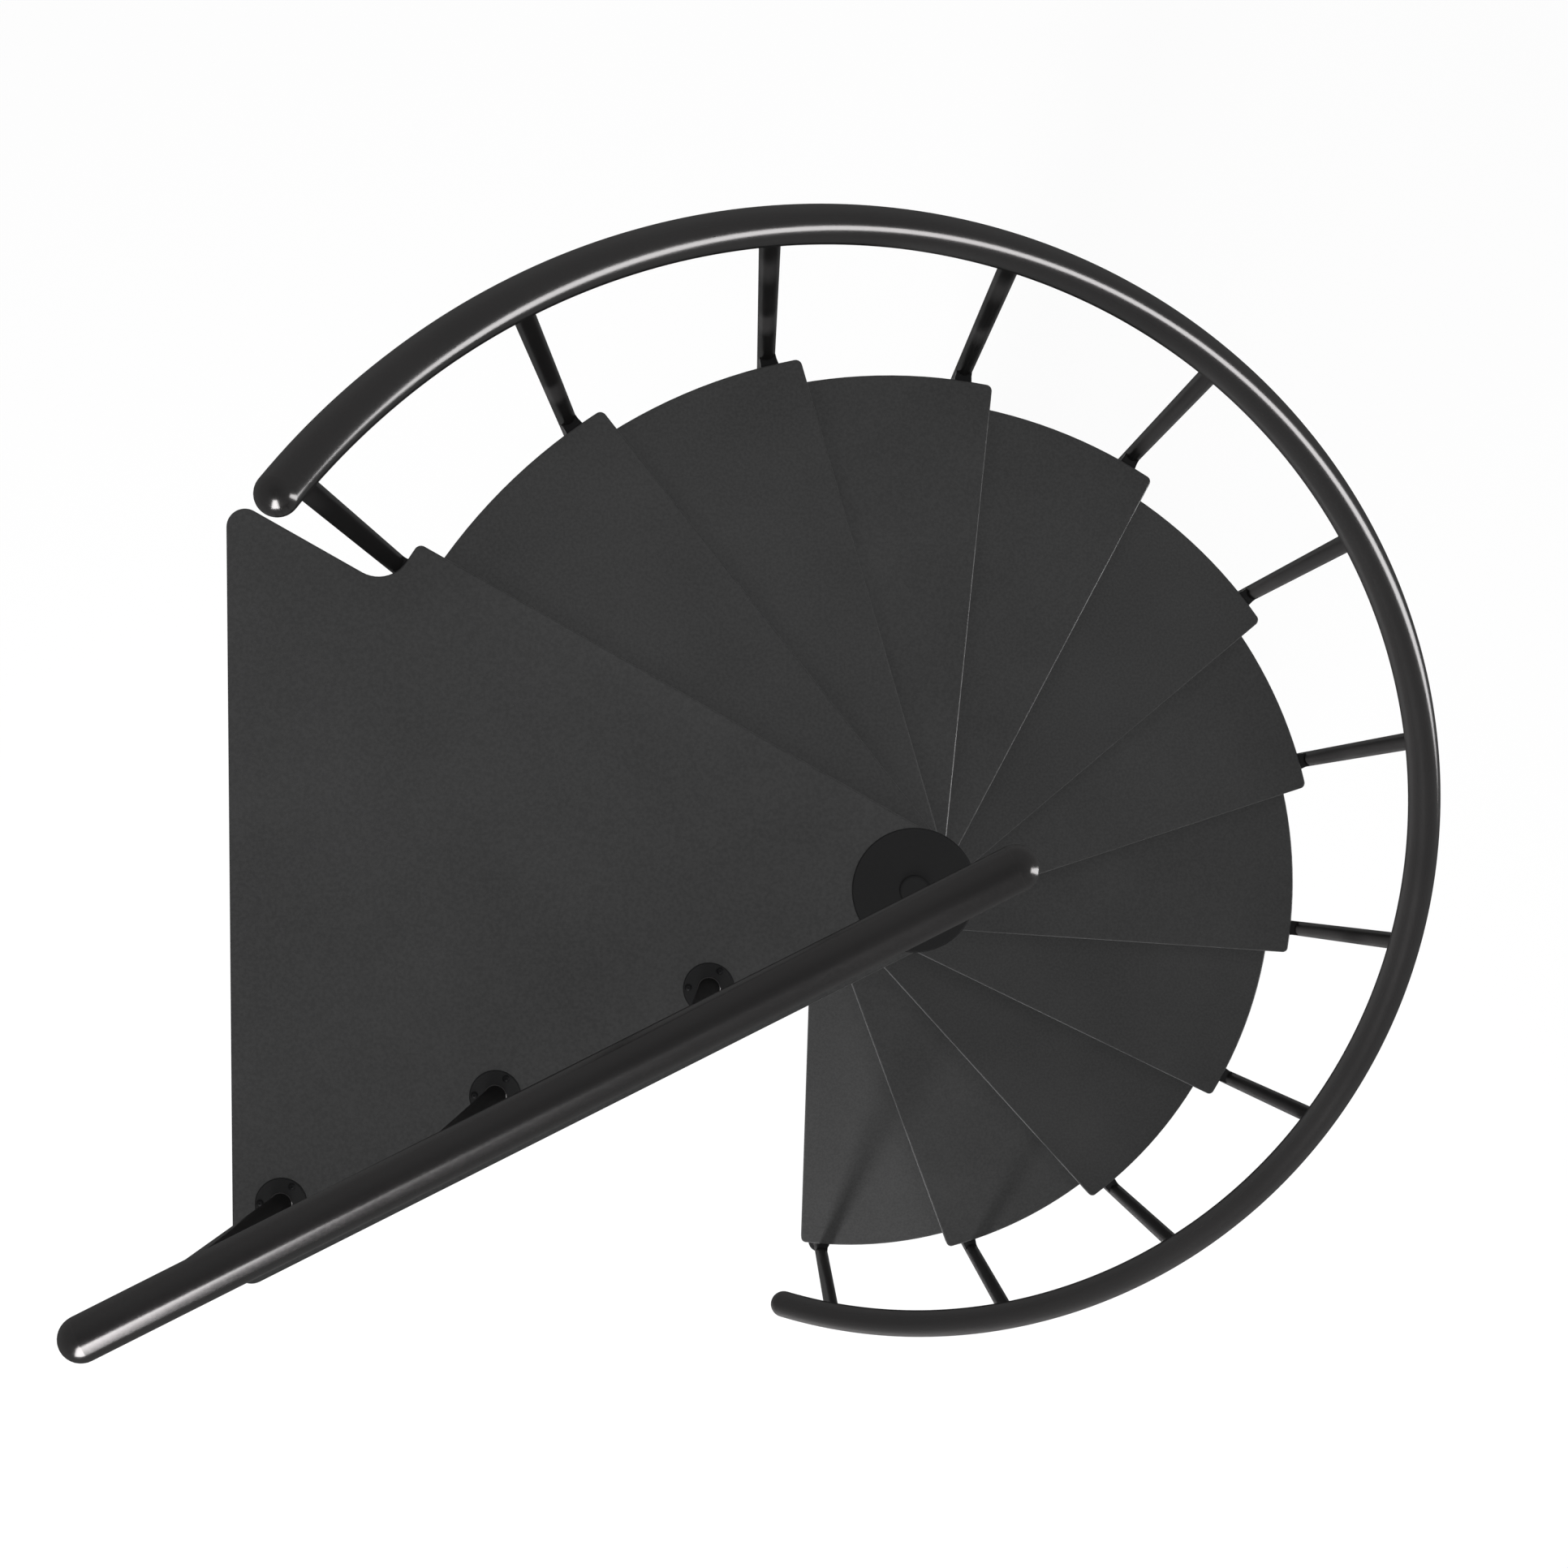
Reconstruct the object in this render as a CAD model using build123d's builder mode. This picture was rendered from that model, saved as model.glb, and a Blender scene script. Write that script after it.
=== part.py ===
from build123d import *

import os
from math import asin, atan, cos, degrees, radians, sin, sqrt

# A steel spiral stair: stacked treads around one pole, a baluster at every joint, a helical
# handrail, and a landing at the top with a straight guard along its open side.
# The origin is on the pole's axis at the floor, +Z is up, and the landing's wall edge faces -X.

# Climb
riser = 230.0
tread_count = 11
step_angle = 22.0
top_baluster_angle = 147.0

# Pole and the hubs stacked on it
pole_radius = 60.5
pole_wall = 4.0
hub_clearance = 0.35
hub_radius = 66.5
hub_edge_inset = 1.0
hub_height = 60.0
pole_head_thickness = 12.0
base_radius = 150.0
base_thickness = 10.0
base_edge = 1.5
anchor_circle_radius = 115.0
anchor_count = 6
anchor_hole_radius = 7.0
anchor_offset_angle = 30.0
cap_radius = 67.5
cap_thickness = 6.0
cap_edge = 1.5
bolt_head_radius = 16.5
bolt_head_height = 8.0
bolt_head_edge = 4.0
bolt_shank_radius = 8.0
bolt_clearance = 0.3

# Folded sheet of the treads and the landing
tread_radius = 650.0
tread_sheet = 3.0
tread_depth = 45.0
tread_corner_radius = 8.0
nosing_radius = 2.0
front_margin = 37.0
rear_margin = 27.0
rib_thickness = 4.0
rib_depth = 32.0

# Landing
landing_wall_distance = 740.0
landing_overreach = 5.0
landing_front_offset = 62.5
landing_front_margin = 30.0
landing_side_angle = 206.0
landing_side_offset = 60.0
landing_sheet = 4.0
landing_depth = 60.0
landing_corner_radius = 20.0
landing_notch_radius = 36.0
landing_step_back = 57.5
landing_rib_spread = 14.0
wall_bolt_spacing = 560.0
wall_bolt_radius = 6.5
wall_bolt_drop = 34.0

# Balusters and their moulded spacers
baluster_radius = 11.0
baluster_wall = 2.0
baluster_gap = 7.0
baluster_tail = 62.0
baluster_plug_thickness = 3.0
plug_rim = 0.5
spacer_height = 30.0
spacer_drop = 3.0
spacer_width = 20.0
spacer_flare = 1.0
spacer_wrap = 5.0
spacer_clearance = 0.1
foot_radius = 20.0
foot_thickness = 5.0
foot_edge = 1.5

# Rails
rail_radius = 20.0
rail_wall = 2.0
rail_seat_clearance = 0.3
handrail_height = 873.0
handrail_lower_reach = 75.5
handrail_upper_reach = 19.5
guard_height = 950.0
guard_inset = 5.0
guard_outer_end = 809.0
guard_inner_end = -48.5
guard_post_distances = (246.0, 504.0, 762.0)
guard_flange_radius = 28.0
guard_flange_thickness = 6.0
guard_flange_edge = 1.5
guard_screw_circle_radius = 22.3
guard_screw_hole_radius = 2.6
guard_screw_count = 3
guard_screw_turn = 57.0

# Worked out from the sizes above
landing_level = riser * (tread_count + 1)
baluster_circle_radius = tread_radius + baluster_gap + baluster_radius
landing_reach = tread_radius + landing_overreach
hub_bore_radius = pole_radius + hub_clearance
edge_offset = hub_radius - hub_edge_inset
edge_length = sqrt(tread_radius**2 - edge_offset**2)
front_turn = degrees(asin((edge_offset - front_margin) / baluster_circle_radius))
rear_turn = step_angle - degrees(asin((edge_offset - rear_margin) / baluster_circle_radius))
rise_per_degree = riser / step_angle
handrail_slope = atan(degrees(rise_per_degree) / baluster_circle_radius)
cap_align = (Align.CENTER, Align.CENTER, Align.MIN)


def baluster_angle(number):
    """Plan angle of a baluster, counted from 1 at the floor."""
    return top_baluster_angle - step_angle * (tread_count + 1 - number)


def polar(radius, angle):
    """Point in plan at a radius from the pole's axis."""
    return Vector(radius * cos(radians(angle)), radius * sin(radians(angle)))


def along_edge(distance, angle, offset):
    """Point in plan at a distance along a line that passes the axis at an offset to its left."""
    return polar(distance, angle) + polar(offset, angle + 90)


def save(part, name):
    part.label = name
    export_step(part, f"parts/{name}.step")


os.makedirs("parts", exist_ok=True)


# Floor plate that carries the pole and is bolted down
with BuildPart() as base_plate:
    with BuildSketch():
        Circle(base_radius)
    extrude(amount=base_thickness)
    chamfer(base_plate.edges().group_by(Axis.Z)[-1], base_edge)
    with BuildSketch(Plane.XY.offset(base_thickness)):
        with PolarLocations(anchor_circle_radius, anchor_count, start_angle=anchor_offset_angle):
            Circle(anchor_hole_radius)
    extrude(amount=-base_thickness, mode=Mode.SUBTRACT)
save(base_plate.part, "base_plate")

# Pole: one steel tube from the floor plate to the landing, closed by a threaded head
with BuildPart() as central_pole:
    with BuildSketch(Plane.XY.offset(base_thickness)):
        Circle(pole_radius)
        Circle(pole_radius - pole_wall, mode=Mode.SUBTRACT)
    extrude(amount=landing_level - base_thickness)
    with BuildSketch(Plane.XY.offset(landing_level)):
        Circle(pole_radius)
        Circle(bolt_shank_radius, mode=Mode.SUBTRACT)
    extrude(amount=-pole_head_thickness)
save(central_pole.part, "central_pole")

# Spacer sleeves on the pole, one below each hub
with BuildPart() as pole_sleeves:
    for level in range(tread_count + 1):
        sleeve_bottom = base_thickness if level == 0 else level * riser
        sleeve_top = (level + 1) * riser - hub_height
        with BuildSketch(Plane.XY.offset(sleeve_bottom)):
            Circle(hub_radius)
            Circle(hub_bore_radius, mode=Mode.SUBTRACT)
        extrude(amount=sleeve_top - sleeve_bottom)
save(pole_sleeves.part, "pole_sleeves")

# Cap disc and the bolt that clamps the stack
with BuildPart() as pole_cap:
    with BuildSketch(Plane.XY.offset(landing_level)):
        Circle(cap_radius)
    extrude(amount=cap_thickness)
    chamfer(pole_cap.edges().group_by(Axis.Z)[-1], cap_edge)
    with BuildSketch(Plane.XY.offset(landing_level)):
        Circle(bolt_shank_radius + bolt_clearance)
    extrude(amount=cap_thickness, mode=Mode.SUBTRACT)
save(pole_cap.part, "pole_cap")

with BuildPart() as cap_bolt:
    with BuildSketch(Plane.XY.offset(landing_level + cap_thickness)):
        Circle(bolt_head_radius)
    extrude(amount=bolt_head_height)
    fillet(cap_bolt.edges().group_by(Axis.Z)[-1], bolt_head_edge)
    with BuildSketch(Plane.XY.offset(landing_level + cap_thickness)):
        Circle(bolt_shank_radius)
    extrude(amount=-cap_thickness - pole_head_thickness)
save(cap_bolt.part, "cap_bolt")


# Tread: a folded plate with a hub collar and a rib, drawn with its top at z = 0 and the
# baluster at its front edge in direction 0
with BuildSketch() as tread_plan:
    front_corner = along_edge(edge_length, front_turn, -edge_offset)
    rear_corner = along_edge(edge_length, rear_turn, edge_offset)
    with BuildLine():
        Line(along_edge(0, front_turn, -edge_offset), front_corner)
        ThreePointArc(front_corner, polar(tread_radius, step_angle / 2), rear_corner)
        Line(rear_corner, along_edge(0, rear_turn, edge_offset))
        Line(along_edge(0, rear_turn, edge_offset), along_edge(0, front_turn, -edge_offset))
    make_face()
    fillet(tread_plan.vertices().sort_by_distance((0, 0))[-2:], tread_corner_radius)

with BuildPart() as tread_blank:
    with BuildSketch():
        add(tread_plan.sketch)
    extrude(amount=-tread_depth)
    fillet(tread_blank.edges().group_by(Axis.Z)[-1], nosing_radius)
    with BuildSketch(Plane.XY.offset(-tread_depth)):
        add(tread_plan.sketch)
        offset(amount=-tread_sheet)
    extrude(amount=tread_depth - tread_sheet, mode=Mode.SUBTRACT)
    rib_start = hub_bore_radius + (hub_radius - hub_bore_radius) / 2
    rib_end = tread_radius - tread_sheet / 2
    rib_angle = (front_turn + rear_turn) / 2
    with BuildSketch(Plane.XY.offset(-tread_sheet)):
        with Locations(Location(polar((rib_start + rib_end) / 2, rib_angle), (0, 0, rib_angle))):
            Rectangle(rib_end - rib_start, rib_thickness)
    extrude(amount=-rib_depth)
    with BuildSketch():
        Circle(hub_radius)
    extrude(amount=-hub_height)
    with BuildSketch():
        Circle(hub_bore_radius)
    extrude(amount=-hub_height, mode=Mode.SUBTRACT)

for number in range(1, tread_count + 1):
    with BuildPart() as tread:
        with Locations(Location((0, 0, number * riser), (0, 0, baluster_angle(number)))):
            add(tread_blank.part)
    save(tread.part, f"tread_{number:02d}")


# Landing: a folded plate from the hub to the wall, stepped back past the last baluster
def at_wall(angle, offset):
    """Point where a line that passes the axis at an offset meets the landing's wall edge."""
    distance = (-landing_wall_distance - polar(offset, angle + 90).X) / cos(radians(angle))
    return along_edge(distance, angle, offset)


landing_front_turn = degrees(asin((landing_front_offset - landing_front_margin) / baluster_circle_radius))
landing_front_angle = top_baluster_angle + landing_front_turn
landing_front_length = sqrt(landing_reach**2 - landing_front_offset**2)
step_offset = landing_front_offset - landing_step_back
step_length = sqrt(landing_reach**2 - step_offset**2)
with BuildSketch() as landing_plan:
    front_root = along_edge(0, landing_front_angle, -landing_front_offset)
    front_corner = along_edge(landing_front_length, landing_front_angle, -landing_front_offset)
    notch_corner = along_edge(step_length, landing_front_angle, -step_offset)
    wall_left = at_wall(landing_front_angle, -step_offset)
    wall_right = at_wall(landing_side_angle, landing_side_offset)
    side_root = along_edge(0, landing_side_angle, landing_side_offset)
    with BuildLine():
        Line(front_root, front_corner)
        ThreePointArc(front_corner, polar(landing_reach, top_baluster_angle), notch_corner)
        Polyline(notch_corner, wall_left, wall_right, side_root, front_root)
    make_face()
    wall_corners = landing_plan.vertices().group_by(Axis.X)[0]
    fillet(wall_corners, landing_corner_radius)
    fillet(landing_plan.vertices().sort_by_distance(front_corner)[0], tread_corner_radius)
    fillet(landing_plan.vertices().sort_by_distance(notch_corner)[0], landing_notch_radius)

with BuildPart() as landing:
    with BuildSketch(Plane.XY.offset(landing_level)):
        add(landing_plan.sketch)
    extrude(amount=-landing_depth)
    fillet(landing.edges().group_by(Axis.Z)[-1], nosing_radius)
    with BuildSketch(Plane.XY.offset(landing_level - landing_depth)):
        add(landing_plan.sketch)
        offset(amount=-landing_sheet)
    extrude(amount=landing_depth - landing_sheet, mode=Mode.SUBTRACT)
    landing_middle_angle = (landing_front_angle + landing_side_angle) / 2
    with BuildSketch(Plane.XY.offset(landing_level - landing_sheet)):
        for turn in (-landing_rib_spread, 0, landing_rib_spread):
            angle = landing_middle_angle + turn
            rib_length = (landing_sheet / 2 - landing_wall_distance) / cos(radians(angle)) - rib_start
            with Locations(Location(polar(rib_start + rib_length / 2, angle), (0, 0, angle))):
                Rectangle(rib_length, rib_thickness)
    extrude(amount=-rib_depth)
    with BuildSketch(Plane.XY.offset(landing_level)):
        Circle(hub_radius)
    extrude(amount=-hub_height)
    with BuildSketch(Plane.XY.offset(landing_level)):
        Circle(hub_bore_radius)
    extrude(amount=-hub_height, mode=Mode.SUBTRACT)
    wall_bolt_center = (-landing_wall_distance, 0, landing_level - wall_bolt_drop)
    wall_face = Plane(wall_bolt_center, x_dir=(0, 1, 0), z_dir=(-1, 0, 0))
    with BuildSketch(wall_face):
        with GridLocations(wall_bolt_spacing, 0, 2, 1):
            Circle(wall_bolt_radius)
    extrude(amount=-landing_sheet, mode=Mode.SUBTRACT)
save(landing.part, "landing")


# Balusters: tubes that run down past the lower tread, their tops shaped to the handrail
def rail_tangent(angle):
    """Direction of the climbing handrail where it passes an angle."""
    return polar(cos(handrail_slope), angle + 90) + Vector(0, 0, sin(handrail_slope))


for number in range(1, tread_count + 2):
    angle = baluster_angle(number)
    foot = foot_thickness if number == 1 else (number - 1) * riser - baluster_tail
    rail_center = polar(baluster_circle_radius, angle) + Vector(0, 0, number * riser + handrail_height)
    with BuildPart() as baluster:
        with BuildSketch(Plane.XY.offset(foot)):
            with Locations(polar(baluster_circle_radius, angle)):
                Circle(baluster_radius)
                Circle(baluster_radius - baluster_wall, mode=Mode.SUBTRACT)
        extrude(amount=rail_center.Z - foot)
        with BuildSketch(Plane(rail_center, z_dir=rail_tangent(angle))):
            Circle(rail_radius + rail_seat_clearance)
        extrude(amount=2 * rail_radius, both=True, mode=Mode.SUBTRACT)
    save(baluster.part, f"baluster_{number:02d}")

# Plugs under the balusters that end below a tread
with BuildPart() as baluster_plugs:
    for number in range(2, tread_count + 2):
        with BuildSketch(Plane.XY.offset((number - 1) * riser - baluster_tail)):
            with Locations(polar(baluster_circle_radius, baluster_angle(number))):
                Circle(baluster_radius + plug_rim)
        extrude(amount=-baluster_plug_thickness)
save(baluster_plugs.part, "baluster_plugs")

# Foot under the lowest baluster
with BuildPart() as baluster_foot:
    with BuildSketch():
        with Locations(polar(baluster_circle_radius, baluster_angle(1))):
            Circle(foot_radius)
    extrude(amount=foot_thickness)
    chamfer(baluster_foot.edges().group_by(Axis.Z)[-1], foot_edge)
save(baluster_foot.part, "baluster_foot")

# Moulded spacer between a folded edge and a baluster, drawn with the baluster in direction 0
with BuildSketch() as spacer_plan:
    half_width = spacer_width / 2
    flare_end = tread_radius + baluster_gap
    with BuildLine():
        Polyline(
            (tread_radius, -half_width - spacer_flare),
            (flare_end, -half_width),
            (flare_end + spacer_wrap, -half_width),
            (flare_end + spacer_wrap, half_width),
            (flare_end, half_width),
            (tread_radius, half_width + spacer_flare),
            close=True,
        )
    make_face()
    Circle(tread_radius + spacer_clearance, mode=Mode.SUBTRACT)
    with Locations((baluster_circle_radius, 0)):
        Circle(baluster_radius + spacer_clearance, mode=Mode.SUBTRACT)


def make_spacers(name, first, level_step):
    """Spacers at the treads just above or just below the joints of the balusters."""
    with BuildPart() as spacers:
        for number in range(first, tread_count + 2):
            top = (number + level_step) * riser - spacer_drop
            with BuildSketch(Plane.XY.offset(top)):
                add(spacer_plan.sketch, rotation=baluster_angle(number))
            extrude(amount=-spacer_height)
        with BuildSketch(Plane.XY.offset(landing_level)):
            add(landing_plan.sketch)
            offset(amount=spacer_clearance)
        extrude(amount=-landing_depth, mode=Mode.SUBTRACT)
    save(spacers.part, name)


make_spacers("front_spacers", 1, 0)
make_spacers("rear_spacers", 2, -1)

# Handrail: one tube bent to a helix, drawn from direction 0 and turned to its place
lower_reach = degrees(handrail_lower_reach / baluster_circle_radius)
upper_reach = degrees(handrail_upper_reach / baluster_circle_radius)
rail_sweep = step_angle * tread_count + lower_reach + upper_reach
with BuildLine() as rail_path:
    Helix(rise_per_degree * 360, rise_per_degree * rail_sweep, baluster_circle_radius)
rail_start = Location(
    (0, 0, riser + handrail_height - rise_per_degree * lower_reach),
    (0, 0, baluster_angle(1) - lower_reach),
)

with BuildPart() as rail_blank:
    with BuildSketch(Plane(rail_path.line @ 0, z_dir=rail_path.line % 0)):
        Circle(rail_radius)
        Circle(rail_radius - rail_wall, mode=Mode.SUBTRACT)
    sweep(path=rail_path.line, is_frenet=True)

with BuildPart() as handrail:
    with Locations(rail_start):
        add(rail_blank.part)
save(handrail.part, "handrail")

with BuildPart() as handrail_end_caps:
    with Locations(rail_start):
        with Locations(
            Plane(rail_path.line @ 0, z_dir=-(rail_path.line % 0)),
            Plane(rail_path.line @ 1, z_dir=rail_path.line % 1),
        ):
            Sphere(rail_radius, arc_size1=0, arc_size2=90, align=cap_align)
save(handrail_end_caps.part, "handrail_end_caps")


# Guard: a level rail over the landing's open side, on posts in screwed flanges
def guard_point(distance, height):
    """Point above the line of the guard, from the pole's axis and from the landing's top."""
    return along_edge(distance, landing_side_angle, -guard_inset) + Vector(0, 0, landing_level + height)


guard_direction = polar(1, landing_side_angle)
with BuildPart() as guard_rail:
    with BuildSketch(Plane(guard_point(guard_inner_end, guard_height), z_dir=guard_direction)):
        Circle(rail_radius)
        Circle(rail_radius - rail_wall, mode=Mode.SUBTRACT)
    extrude(amount=guard_outer_end - guard_inner_end)
save(guard_rail.part, "guard_rail")

with BuildPart() as guard_end_caps:
    with Locations(
        Plane(guard_point(guard_inner_end, guard_height), z_dir=-guard_direction),
        Plane(guard_point(guard_outer_end, guard_height), z_dir=guard_direction),
    ):
        Sphere(rail_radius, arc_size1=0, arc_size2=90, align=cap_align)
save(guard_end_caps.part, "guard_end_caps")

for number, distance in enumerate(guard_post_distances, start=1):
    with BuildPart() as guard_post:
        with BuildSketch(Plane(guard_point(distance, 0))):
            Circle(baluster_radius)
            Circle(baluster_radius - baluster_wall, mode=Mode.SUBTRACT)
        extrude(amount=guard_height)
        with BuildSketch(Plane(guard_point(distance, guard_height), z_dir=guard_direction)):
            Circle(rail_radius + rail_seat_clearance)
        extrude(amount=rail_radius, both=True, mode=Mode.SUBTRACT)
    save(guard_post.part, f"guard_post_{number}")

    with BuildPart() as guard_flange:
        with BuildSketch(Plane(guard_point(distance, 0))):
            Circle(guard_flange_radius)
        extrude(amount=guard_flange_thickness)
        chamfer(guard_flange.edges().group_by(Axis.Z)[-1], guard_flange_edge)
        with BuildSketch(Plane(guard_point(distance, 0))):
            Circle(baluster_radius + spacer_clearance)
            with PolarLocations(guard_screw_circle_radius, guard_screw_count, guard_screw_turn):
                Circle(guard_screw_hole_radius)
        extrude(amount=guard_flange_thickness, mode=Mode.SUBTRACT)
    save(guard_flange.part, f"guard_flange_{number}")
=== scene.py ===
import math

import bpy
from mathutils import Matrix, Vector


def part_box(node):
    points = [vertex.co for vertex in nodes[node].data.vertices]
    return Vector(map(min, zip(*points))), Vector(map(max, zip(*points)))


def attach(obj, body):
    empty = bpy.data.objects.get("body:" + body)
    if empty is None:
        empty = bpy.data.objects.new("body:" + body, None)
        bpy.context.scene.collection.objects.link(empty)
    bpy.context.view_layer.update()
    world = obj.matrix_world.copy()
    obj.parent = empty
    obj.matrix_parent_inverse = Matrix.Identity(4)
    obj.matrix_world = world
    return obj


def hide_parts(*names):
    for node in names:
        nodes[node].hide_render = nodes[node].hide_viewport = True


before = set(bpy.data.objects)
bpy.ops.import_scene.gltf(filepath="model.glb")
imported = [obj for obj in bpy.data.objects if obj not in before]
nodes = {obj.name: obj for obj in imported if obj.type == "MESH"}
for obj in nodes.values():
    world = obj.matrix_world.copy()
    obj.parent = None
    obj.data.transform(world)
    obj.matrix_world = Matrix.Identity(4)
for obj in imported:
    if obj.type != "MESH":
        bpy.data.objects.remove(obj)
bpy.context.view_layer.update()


# Floor plate. A round plate of 10 mm steel, cut by laser and chamfered, that carries the pole.
# It has a thin matt black powder coat. Six hexagon bolts with washers hold it to the floor,
# and they are plain zinc steel.
def place(tree, kind, inputs=(), **settings):
    """A node in a tree, with its settings, and with values or links for its inputs."""
    node = tree.nodes.new(kind)
    for name, value in settings.items():
        setattr(node, name, value)
    for key, value in dict(inputs).items():
        if isinstance(value, bpy.types.NodeSocket):
            tree.links.new(value, node.inputs[key])
        else:
            node.inputs[key].default_value = value
    return node


def reckon(tree, operation, *values):
    """The result of one Math node."""
    return place(tree, "ShaderNodeMath", dict(enumerate(values)), operation=operation).outputs[0]


def spread(tree, value, low, high, to_low, to_high):
    """A value spread from one range to another."""
    ends = {"Value": value, "From Min": low, "From Max": high, "To Min": to_low, "To Max": to_high}
    return place(tree, "ShaderNodeMapRange", ends).outputs["Result"]


def blend_color(tree, share, first, second):
    """The color between two others, by share."""
    colors = {"Factor": share, 6: first, 7: second}
    return place(tree, "ShaderNodeMix", colors, data_type="RGBA").outputs[2]


def powder_coat(name, color, cloud, rubbed_and_highlit_edge, gloss, worn_gloss, shine, grain, relief, worn_and_highlit_width, mottle=0.15):
    """Baked powder paint: soft clouds of a second tone, grains, orange peel and lighter edges, partly rubbed
    wear and partly a painted highlight.
    """
    cloud_waves = 6.0
    peel_share = 0.2
    flat_likeness = 0.995
    sharp_likeness = 0.80

    material = bpy.data.materials.new(name)
    material.use_nodes = True
    tree = material.node_tree
    paint = tree.nodes["Principled BSDF"]
    paint.inputs["Specular IOR Level"].default_value = shine
    where = place(tree, "ShaderNodeTexCoord").outputs["Object"]

    def noise(scale, detail):
        """A noise of a given number of waves per metre."""
        return place(
            tree, "ShaderNodeTexNoise", {"Vector": where, "Scale": scale, "Detail": detail}
        ).outputs["Fac"]

    clouds = noise(cloud_waves, 3.0)
    grains = noise(1 / grain, 3.0)
    peel = noise(peel_share / grain, 1.0)
    speckle = spread(tree, grains, 0.35, 0.65, -mottle, mottle)
    patches = reckon(tree, "ADD", clouds, speckle)
    body = blend_color(tree, patches, (*color, 1), (*cloud, 1))

    rounded = place(tree, "ShaderNodeBevel", {"Radius": worn_and_highlit_width}, samples=6).outputs["Normal"]
    sharp = place(tree, "ShaderNodeNewGeometry").outputs["Normal"]
    likeness = place(
        tree, "ShaderNodeVectorMath", {0: rounded, 1: sharp}, operation="DOT_PRODUCT"
    ).outputs["Value"]
    edge = spread(tree, likeness, flat_likeness, sharp_likeness, 0.0, 1.0)
    # The edge mask paints the edges in the lighter rubbed colour: partly wear, and partly a painted highlight
    # along each edge.
    wear_and_edge_highlight = reckon(tree, "MULTIPLY", edge, spread(tree, grains, 0.3, 0.7, 0.35, 1.0))
    finish = blend_color(tree, wear_and_edge_highlight, body, (*rubbed_and_highlit_edge, 1))
    tree.links.new(finish, paint.inputs["Base Color"])

    dullness = spread(tree, patches, 0.3, 0.7, *gloss)
    roughness = place(tree, "ShaderNodeMix", {0: wear_and_edge_highlight, 2: dullness, 3: worn_gloss}).outputs[0]
    tree.links.new(roughness, paint.inputs["Roughness"])
    height = reckon(tree, "MULTIPLY_ADD", peel, 1.5, grains)
    bump = place(tree, "ShaderNodeBump", {"Height": height, "Distance": relief, "Strength": 1.0})
    tree.links.new(bump.outputs["Normal"], paint.inputs["Normal"])
    return material


def coat(material, *names):
    """Gives CAD nodes their finish."""
    for name in names:
        nodes[name].data.materials.clear()
        nodes[name].data.materials.append(material)


def turned(name, outline, sides=24):
    """A turned part on the Z axis, from its outline of radius, height and whether six-sided."""
    corners = [(0.0, 0.0, outline[0][1])]
    for radius, height, six_sided in outline:
        for side in range(sides):
            angle = 2 * math.pi * side / sides
            reach = radius
            if six_sided:
                reach = radius / math.cos((angle + math.pi / 6) % (math.pi / 3) - math.pi / 6)
            corners.append((reach * math.cos(angle), reach * math.sin(angle), height))
    corners.append((0.0, 0.0, outline[-1][1]))
    last = len(corners) - 1
    faces = []
    for side in range(sides):
        after = (side + 1) % sides
        faces.append((0, 1 + after, 1 + side))
        for ring in range(len(outline) - 1):
            low = 1 + ring * sides
            high = low + sides
            faces.append((low + side, low + after, high + after, high + side))
        faces.append((last - sides + side, last - sides + after, last))
    mesh = bpy.data.meshes.new(name)
    mesh.from_pydata(corners, [], faces)
    return mesh


def grow(name, spots, shape, material, slot, smooth=True, **sizes):
    """Runs a Geometry Nodes tree on a mesh of spots, and keeps the result as a plain piece."""
    tree = bpy.data.node_groups.new(name, "GeometryNodeTree")
    tree.interface.new_socket("Geometry", in_out="INPUT", socket_type="NodeSocketGeometry")
    tree.interface.new_socket("Geometry", in_out="OUTPUT", socket_type="NodeSocketGeometry")
    for label, value in sizes.items():
        kind = "NodeSocketInt" if isinstance(value, int) else "NodeSocketFloat"
        tree.interface.new_socket(label, in_out="INPUT", socket_type=kind)
    given = tree.nodes.new("NodeGroupInput").outputs
    body = place(tree, "GeometryNodeRealizeInstances", {"Geometry": shape(tree, given)})
    shaded = place(
        tree, "GeometryNodeSetShadeSmooth", {"Geometry": body.outputs[0], "Shade Smooth": smooth}
    )
    painted = place(
        tree, "GeometryNodeSetMaterial", {"Geometry": shaded.outputs[0], "Material": material}
    )
    place(tree, "NodeGroupOutput", {"Geometry": painted.outputs[0]})

    piece = bpy.data.objects.new(name, spots)
    bpy.context.scene.collection.objects.link(piece)
    modifier = piece.modifiers.new(name, "NODES")
    modifier.node_group = tree
    for item in tree.interface.items_tree:
        if item.in_out == "INPUT" and item.name in sizes:
            modifier[item.identifier] = sizes[item.name]
    bpy.context.view_layer.update()
    graph = bpy.context.evaluated_depsgraph_get()
    result = bpy.data.meshes.new_from_object(piece.evaluated_get(graph), depsgraph=graph)
    piece.modifiers.remove(modifier)
    piece.data = result
    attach(piece, "root")
    return piece


def spot_mesh(name, spots):
    """A mesh of loose points, each with the turn about Z of what stands there."""
    mesh = bpy.data.meshes.new(name)
    mesh.from_pydata([spot for spot, turn in spots], [], [])
    turns = mesh.attributes.new("turn", "FLOAT", "POINT")
    turns.data.foreach_set("value", [turn for spot, turn in spots])
    return mesh


def repeat(tree, spots, shape):
    """A shape at each spot, turned as the spot says."""
    turn = place(tree, "GeometryNodeInputNamedAttribute", {"Name": "turn"}, data_type="FLOAT")
    around = place(tree, "ShaderNodeCombineXYZ", {"Z": turn.outputs["Attribute"]})
    rotation = place(tree, "FunctionNodeEulerToRotation", {0: around.outputs[0]})
    inputs = {"Points": spots, "Instance": shape, "Rotation": rotation.outputs[0]}
    return place(tree, "GeometryNodeInstanceOnPoints", inputs).outputs["Instances"]


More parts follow.
